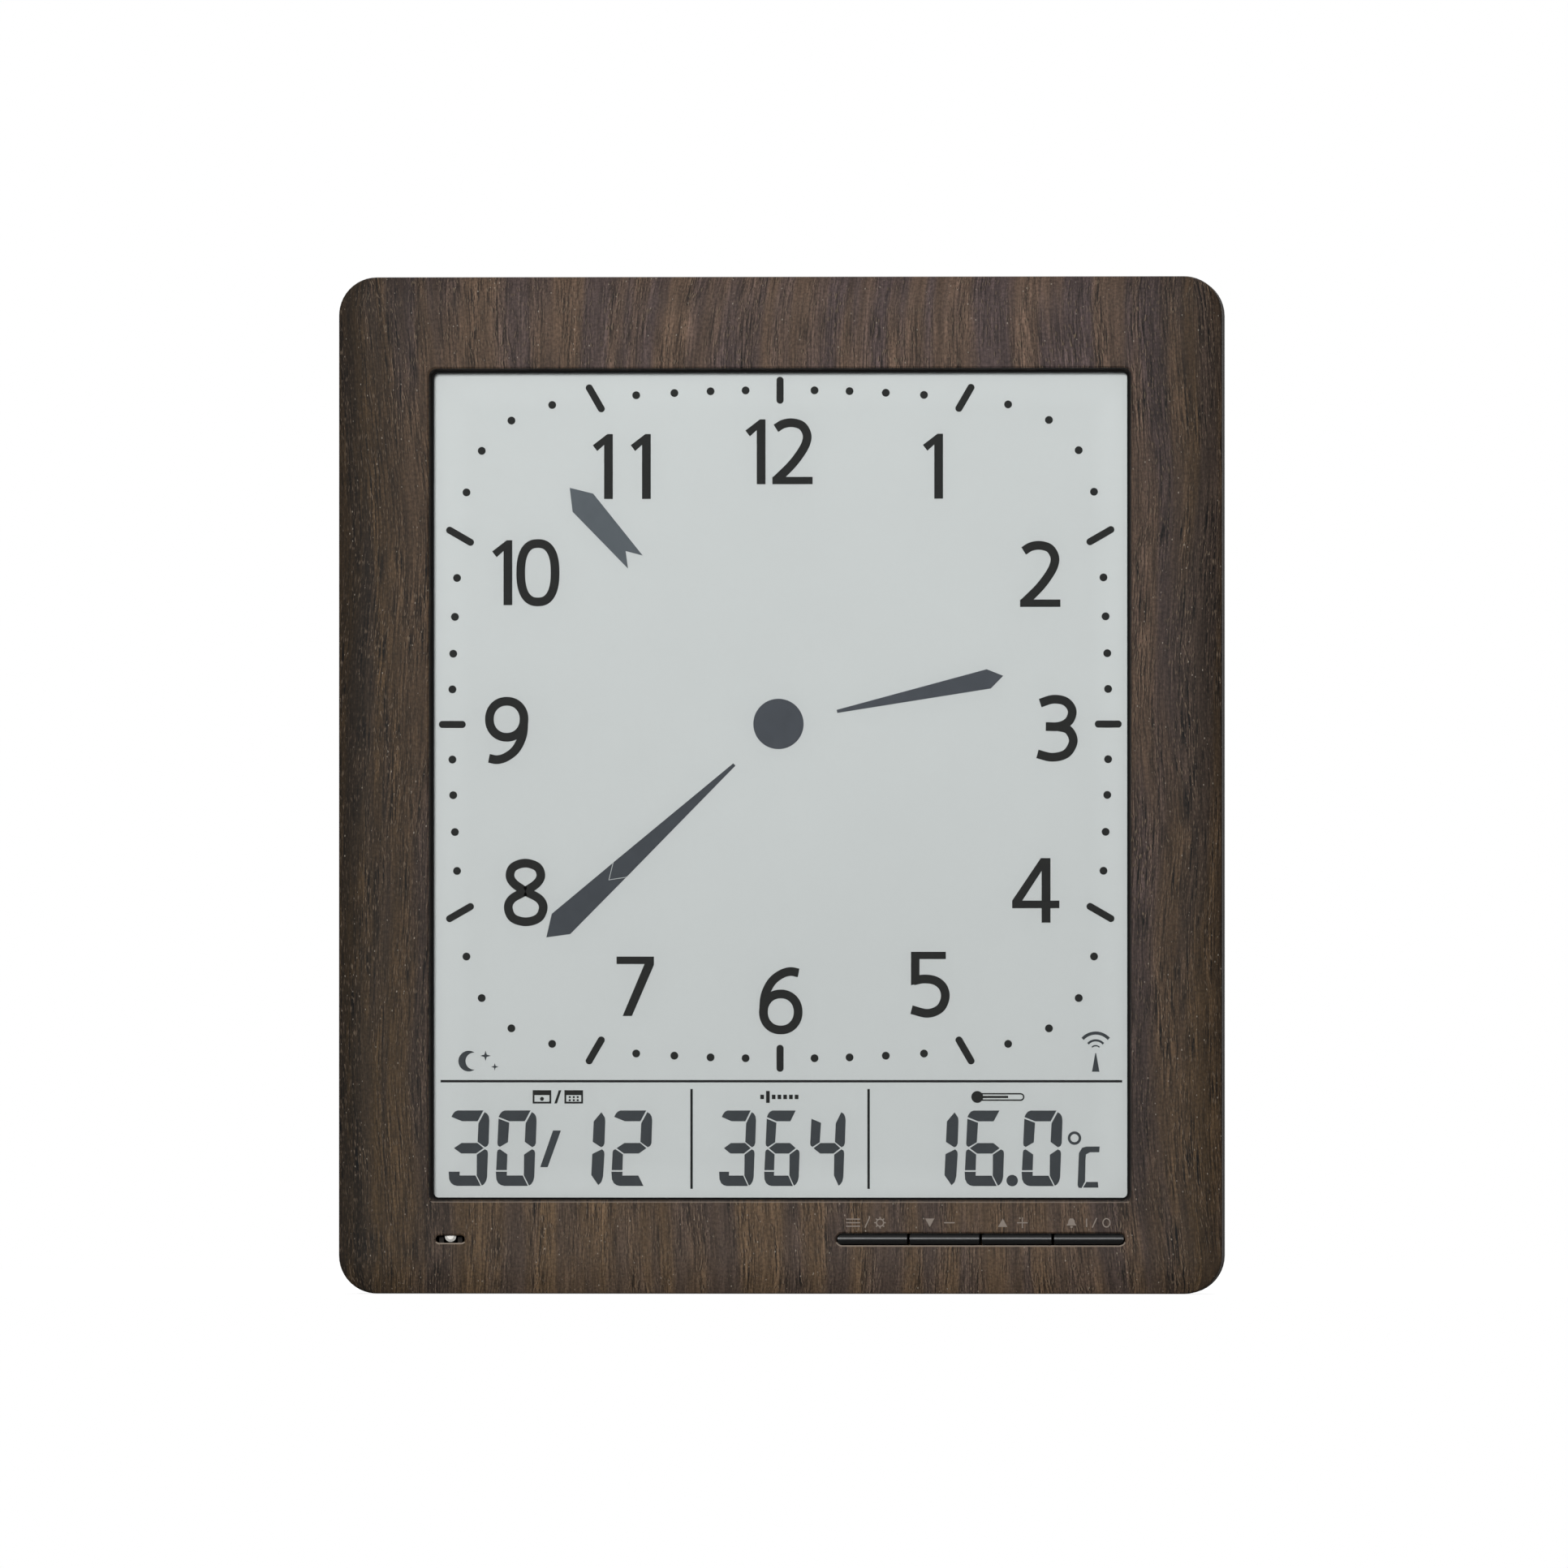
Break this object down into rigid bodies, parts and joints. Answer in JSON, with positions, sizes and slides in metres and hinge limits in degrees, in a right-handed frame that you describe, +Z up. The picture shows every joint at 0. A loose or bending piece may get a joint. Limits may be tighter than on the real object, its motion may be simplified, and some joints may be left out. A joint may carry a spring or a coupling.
{
  "type": "wall clock with calendar",
  "caption": "Flat wall clock with a liquid-crystal dial, date, weekday and temperature panel in a wood-look frame, front keys, keyhole hanger and fold-out leg.",
  "frame": {"origin": "centre of the back face, on the plane of the wall", "axes": "+Z up, +Y into the wall, the display faces -Y, +X to the right seen from the front"},
  "size_m": [0.2, 0.0286, 0.23],
  "materials": {
    "walnut_film": "ABS moulding with a satin film printed as dark walnut, fine vertical grain",
    "foam": "black closed-cell foam",
    "clear_window": "clear polystyrene sheet, polished",
    "display_film": "pale grey-green polarizing film of a reflective display",
    "display_glass": "thin float glass",
    "reflector_film": "matt silver reflective film",
    "white_tray": "white moulded tray",
    "zebra_rubber": "layered conductive rubber",
    "circuit_board": "phenolic paper board with a thin solder mask",
    "epoxy": "black cured epoxy",
    "bright_can": "drawn bright can",
    "small_parts": "small moulded and ceramic parts",
    "key_plastic": "black satin ABS",
    "switch_plastic": "black nylon",
    "ribbon_cable": "grey flat cable",
    "sensor_resin": "white dipped resin bead on a twin lead",
    "case_plastic": "black ABS with a fine spark-eroded texture",
    "cell_jacket": "plain dark jacket over a metal can",
    "contact_metal": "nickel-plated spring steel",
    "black_insulation": "black insulation over stranded copper",
    "red_insulation": "red insulation over stranded copper",
    "ferrite": "dark grey sintered ferrite",
    "coil_wire": "enamelled copper wire in one layer",
    "clip_plastic": "white nylon",
    "sound_brass": "brass disc with a thin ceramic face",
    "screw_steel": "zinc-plated steel"
  },
  "bodies": {
    "housing": {"front_frame": "walnut_film", "display_gasket": "foam", "display_window": "clear_window", "lcd_front_polarizer": "display_film", "lcd_front_glass": "display_glass", "lcd_rear_glass": "display_glass", "lcd_reflector": "reflector_film", "lcd_holder": "white_tray", "zebra_strip": "zebra_rubber", "main_board": "circuit_board", "key_board": "circuit_board", "receiver_board": "circuit_board", "chip_drop": "epoxy", "quartz_crystal": "bright_can", "board_components": "small_parts", "switch_cases": "switch_plastic", "key_ribbon": "ribbon_cable", "temperature_sensor": "sensor_resin", "back_cover": "case_plastic", "upper_cell": "cell_jacket", "lower_cell": "cell_jacket", "negative_contact": "contact_metal", "positive_contact": "contact_metal", "battery_bridge": "contact_metal", "black_lead": "black_insulation", "antenna_lead": "black_insulation", "sound_lead": "black_insulation", "red_lead": "red_insulation", "receiver_lead": "red_insulation", "ferrite_rod": "ferrite", "antenna_coil": "coil_wire", "antenna_clips": "clip_plastic", "sound_disc": "sound_brass", "case_screws": "screw_steel", "board_screws": "screw_steel"},
    "mode_button": {"mode_key": "key_plastic", "mode_plunger": "switch_plastic"},
    "down_button": {"down_key": "key_plastic", "down_plunger": "switch_plastic"},
    "up_button": {"up_key": "key_plastic", "up_plunger": "switch_plastic"},
    "alarm_button": {"alarm_key": "key_plastic", "alarm_plunger": "switch_plastic"},
    "door": {"battery_door": "case_plastic"},
    "leg": {"stand_leg": "case_plastic"}
  },
  "joints": [
    {"name": "mode_press", "type": "slide", "parent": "housing", "child": "mode_button", "axis": [0, 1, 0], "range_m": [0, 0.0004], "stiffness_N_per_m": 1200, "springref_m": -0.0002},
    {"name": "down_press", "type": "slide", "parent": "housing", "child": "down_button", "axis": [0, 1, 0], "range_m": [0, 0.0004], "stiffness_N_per_m": 1200, "springref_m": -0.0002},
    {"name": "up_press", "type": "slide", "parent": "housing", "child": "up_button", "axis": [0, 1, 0], "range_m": [0, 0.0004], "stiffness_N_per_m": 1200, "springref_m": -0.0002},
    {"name": "alarm_press", "type": "slide", "parent": "housing", "child": "alarm_button", "axis": [0, 1, 0], "range_m": [0, 0.0004], "stiffness_N_per_m": 1200, "springref_m": -0.0002},
    {"name": "door_tilt", "type": "hinge", "parent": "housing", "child": "door", "pos_m": [0, 0, 0.0037], "axis": [-1, 0, 0], "range_deg": [0, 75]},
    {"name": "leg_fold", "type": "hinge", "parent": "housing", "child": "leg", "pos_m": [0, -0.0024, -0.0365], "axis": [1, 0, 0], "range_deg": [0, 32]}
  ]
}
